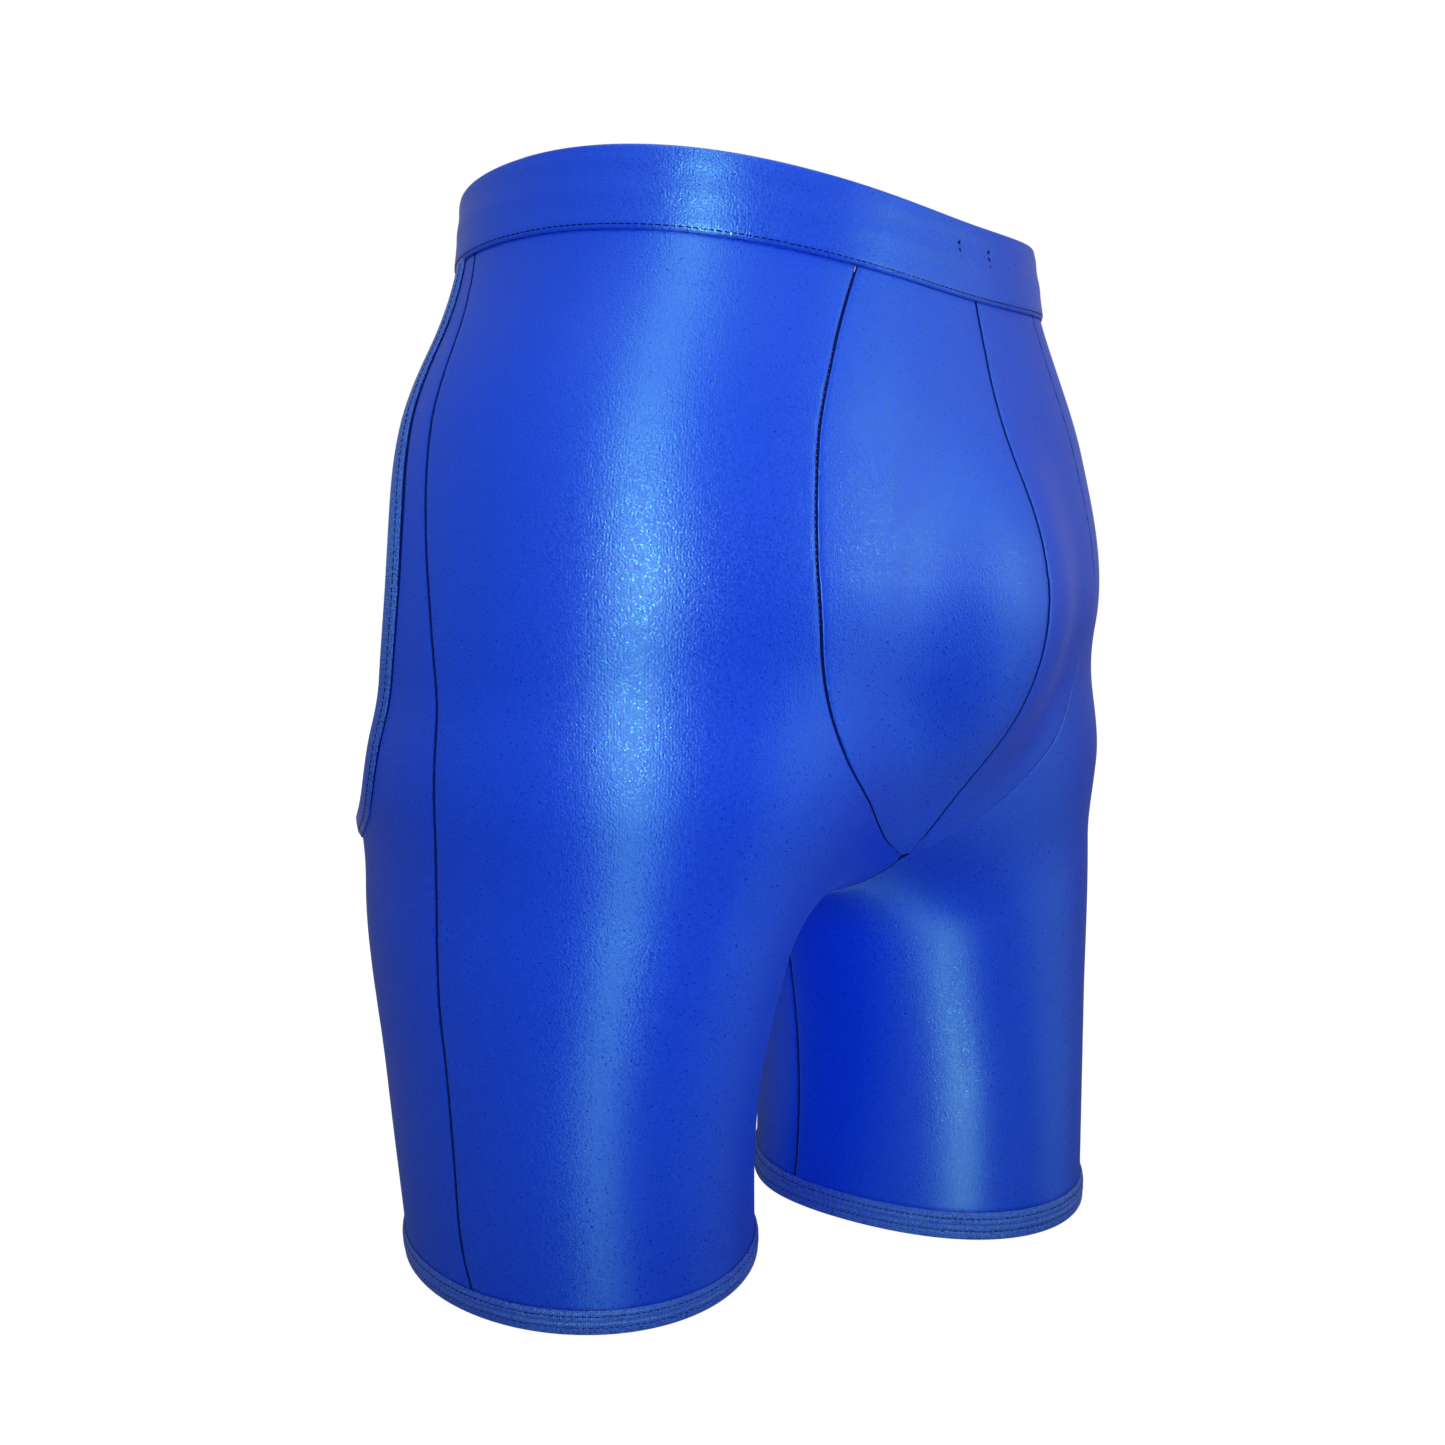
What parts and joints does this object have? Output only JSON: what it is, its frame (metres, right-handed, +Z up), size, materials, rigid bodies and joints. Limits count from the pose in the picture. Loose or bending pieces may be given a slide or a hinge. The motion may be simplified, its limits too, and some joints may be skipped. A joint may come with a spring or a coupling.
{
  "type": "fight shorts",
  "caption": "Skin-tight stretch fight shorts with a front pouch, open seat, folded waistband and elastic-bound hems, in their worn shape.",
  "frame": {"origin": "centre of the footprint, level with the lower edges of the two leg hems", "axes": "+Z up towards the waistband, -Y towards the wearer's front, +X towards the wearer's left"},
  "size_m": [0.3756, 0.2662, 0.447],
  "materials": {
    "face_fabric": "shiny royal-blue stretch knit with fine ribs and a sparkling sheen",
    "binding_fabric": "the same stretch knit, folded over elastic, finely ridged and stitched",
    "lining_fabric": "matt blue stretch mesh",
    "elastic": "matt white woven elastic",
    "thread": "dark royal-blue sewing thread"
  },
  "bodies": {
    "root": {"waistband_cover": "face_fabric", "waistband_elastic": "elastic", "waistband_seam_thread": "thread", "centre_seam_thread": "thread", "crotch_seam_thread": "thread", "right_front_panel": "face_fabric", "right_back_panel": "face_fabric", "right_pouch_panel": "face_fabric", "right_pouch_lining": "lining_fabric", "right_side_seam_thread": "thread", "right_inseam_thread": "thread", "right_pouch_seam_thread": "thread", "right_hem_binding": "binding_fabric", "right_hem_elastic": "elastic", "right_hem_thread": "thread", "right_seat_binding": "binding_fabric", "right_seat_elastic": "elastic", "right_seat_thread": "thread", "right_waistband_tack": "thread", "left_front_panel": "face_fabric", "left_back_panel": "face_fabric", "left_pouch_panel": "face_fabric", "left_pouch_lining": "lining_fabric", "left_side_seam_thread": "thread", "left_inseam_thread": "thread", "left_pouch_seam_thread": "thread", "left_hem_binding": "binding_fabric", "left_hem_elastic": "elastic", "left_hem_thread": "thread", "left_seat_binding": "binding_fabric", "left_seat_elastic": "elastic", "left_seat_thread": "thread", "left_waistband_tack": "thread"}
  },
  "joints": []
}
